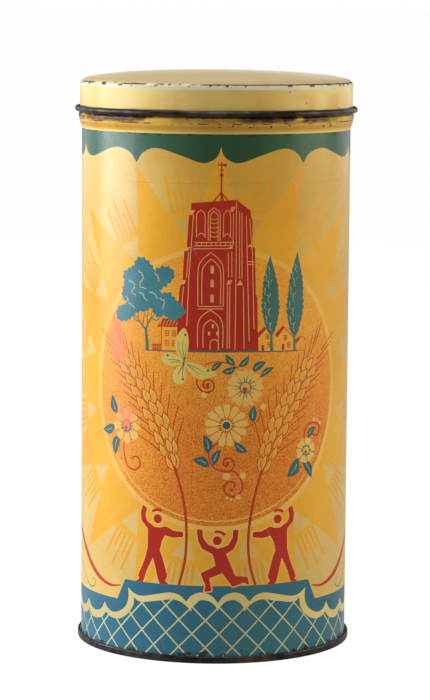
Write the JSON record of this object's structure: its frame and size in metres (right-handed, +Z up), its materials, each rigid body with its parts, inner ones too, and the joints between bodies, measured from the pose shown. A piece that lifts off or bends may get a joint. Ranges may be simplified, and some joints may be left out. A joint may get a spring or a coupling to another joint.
{
  "type": "coffee tin",
  "caption": "Tall round tinplate container with a rolled bead under the neck, a seamed bottom and a domed lid that pulls off.",
  "frame": {"origin": "centre of the ring that the tin stands on, at ground level", "axes": "+Z up along the tin's axis, -Y out of the front of the printed design, side seam at +X"},
  "size_m": [0.118, 0.118, 0.2395],
  "materials": {
    "printed_tin": "semi-gloss printed lacquer on tinplate, aged",
    "bare_tin": "tarnished bare tinplate, satin",
    "lid_lacquer": "semi-gloss cream lacquer, worn at the edge"
  },
  "bodies": {
    "can": {"body_wall": "printed_tin", "bottom_end": "bare_tin"},
    "lid": {"lid_cap": "lid_lacquer"}
  },
  "joints": [
    {"name": "lid_lift", "type": "slide", "parent": "can", "child": "lid", "axis": [0, 0, 1], "range_m": [0, 0.15]}
  ]
}
